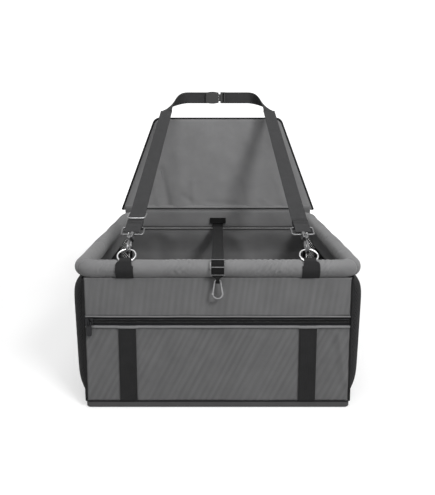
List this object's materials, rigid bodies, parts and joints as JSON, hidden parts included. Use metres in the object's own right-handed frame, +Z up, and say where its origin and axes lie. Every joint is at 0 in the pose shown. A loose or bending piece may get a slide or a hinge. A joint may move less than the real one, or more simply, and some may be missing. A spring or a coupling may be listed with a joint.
{
  "type": "dog car seat",
  "caption": "Open fabric dog basket on a flat base with padded rim, net sides, zipped front pocket, reclined back panel, buckled headrest straps and a clip-on tether.",
  "frame": {"origin": "centre of the underside of the flat base", "axes": "+Z up, -Y to the front, where the zipped pocket is, +X to the right as seen from the front"},
  "size_m": [0.437, 0.4985, 0.4858],
  "materials": {
    "grey_fabric": "mid grey woven oxford cloth over thin padding",
    "dark_webbing": "dark grey woven polyester webbing",
    "black_binding": "black grosgrain binding, tape and webbing",
    "black_mesh": "black open net",
    "black_plastic": "moulded, satin",
    "white_pipe": "extruded pipe",
    "foam": "soft grey foam",
    "board": "stiff sheet",
    "bright_metal": "bright nickel plate"
  },
  "bodies": {
    "basket": {"back_wall": "grey_fabric", "base_board": "board", "base_cover": "black_binding", "buckle_socket": "black_plastic", "corner_binding_left": "black_binding", "corner_binding_right": "black_binding", "floor_pad": "grey_fabric", "front_band_left": "black_binding", "front_band_right": "black_binding", "front_lining": "grey_fabric", "front_upper_panel": "grey_fabric", "hook_eye_left": "bright_metal", "hook_eye_right": "bright_metal", "pocket_panel": "grey_fabric", "rim_cover_back": "grey_fabric", "rim_cover_front": "grey_fabric", "rim_cover_left": "grey_fabric", "rim_cover_right": "grey_fabric", "rim_elbow_back_left": "white_pipe", "rim_elbow_back_right": "white_pipe", "rim_elbow_front_left": "white_pipe", "rim_elbow_front_right": "white_pipe", "rim_foam_back": "foam", "rim_foam_front": "foam", "rim_foam_left": "foam", "rim_foam_right": "foam", "rim_pipe_back": "white_pipe", "rim_pipe_front": "white_pipe", "rim_pipe_left": "white_pipe", "rim_pipe_right": "white_pipe", "ring_loop_left": "dark_webbing", "ring_loop_right": "dark_webbing", "shoulder_strap_left": "dark_webbing", "shoulder_strap_right": "dark_webbing", "side_hem_left": "grey_fabric", "side_hem_right": "grey_fabric", "side_mesh_left": "black_mesh", "side_mesh_right": "black_mesh", "strap_end_loop_left": "dark_webbing", "strap_end_loop_right": "dark_webbing", "tether_anchor": "dark_webbing", "tether_slider": "bright_metal", "tether_strap": "dark_webbing", "zipper_tape_lower": "black_binding", "zipper_tape_upper": "black_binding"},
    "zip_slider": {"zipper_slider": "bright_metal"},
    "zip_pull": {"zipper_pull": "bright_metal"},
    "left_ring": {"o_ring_left": "bright_metal"},
    "right_ring": {"o_ring_right": "bright_metal"},
    "left_hook": {"hook_body_left": "bright_metal"},
    "right_hook": {"hook_body_right": "bright_metal"},
    "left_gate": {"hook_gate_left": "bright_metal"},
    "right_gate": {"hook_gate_right": "bright_metal"},
    "strap_adjuster": {"strap_slide_loop": "bright_metal"},
    "plug": {"buckle_plug": "black_plastic"},
    "carabiner": {"carabiner_body": "bright_metal"},
    "carabiner_latch": {"carabiner_gate": "bright_metal"},
    "back_rest": {"back_panel": "grey_fabric", "panel_board": "board", "panel_binding": "black_binding"}
  },
  "joints": [
    {"name": "zipper_slide", "type": "slide", "parent": "basket", "child": "zip_slider", "axis": [1, 0, 0], "range_m": [0, 0.3696]},
    {"name": "zipper_pull_hinge", "type": "hinge", "parent": "zip_slider", "child": "zip_pull", "pos_m": [-0.18479, -0.1996, 0.1345], "axis": [1, 0, 0], "range_deg": [-170, 0]},
    {"name": "left_ring_hinge", "type": "hinge", "parent": "basket", "child": "left_ring", "pos_m": [-0.131, -0.19566, 0.22211], "axis": [1, 0, 0], "range_deg": [-1.5, 1.5]},
    {"name": "left_hook_swivel", "type": "hinge", "parent": "basket", "child": "left_hook", "pos_m": [-0.12967, -0.14325, 0.24917], "axis": [0.0403, 0.8877, 0.4586], "range_deg": [-30, 30]},
    {"name": "left_gate_hinge", "type": "hinge", "parent": "left_hook", "child": "left_gate", "pos_m": [-0.13026, -0.15621, 0.24923], "axis": [0.999, -0.0454, 0], "range_deg": [0, 25], "stiffness_Nm_per_rad": 0.1, "springref_deg": -17.19},
    {"name": "right_ring_hinge", "type": "hinge", "parent": "basket", "child": "right_ring", "pos_m": [0.131, -0.19566, 0.22211], "axis": [1, 0, 0], "range_deg": [-1.5, 1.5]},
    {"name": "right_hook_swivel", "type": "hinge", "parent": "basket", "child": "right_hook", "pos_m": [0.12967, -0.14325, 0.24917], "axis": [-0.0403, 0.8877, 0.4586], "range_deg": [-30, 30]},
    {"name": "right_gate_hinge", "type": "hinge", "parent": "right_hook", "child": "right_gate", "pos_m": [0.13026, -0.15621, 0.24923], "axis": [0.999, 0.0454, 0], "range_deg": [0, 25], "stiffness_Nm_per_rad": 0.1, "springref_deg": -17.19},
    {"name": "strap_adjuster_slide", "type": "slide", "parent": "basket", "child": "strap_adjuster", "axis": [0.0403, 0.8877, 0.4586], "range_m": [-0.002, 0.2]},
    {"name": "buckle_slide", "type": "slide", "parent": "basket", "child": "plug", "axis": [1, 0, 0], "range_m": [0, 0.026]},
    {"name": "carabiner_swing", "type": "hinge", "parent": "basket", "child": "carabiner", "pos_m": [0, -0.2047, 0.1987], "axis": [1, 0, 0], "range_deg": [-85, 12]},
    {"name": "carabiner_gate_hinge", "type": "hinge", "parent": "carabiner", "child": "carabiner_latch", "pos_m": [-0.0069, -0.2047, 0.1784], "axis": [0, 1, 0], "range_deg": [0, 25], "stiffness_Nm_per_rad": 0.05, "springref_deg": -17.19},
    {"name": "back_panel_hinge", "type": "hinge", "parent": "basket", "child": "back_rest", "pos_m": [0, 0.2023, 0.224], "axis": [1, 0, 0], "range_deg": [-70, 0]}
  ]
}
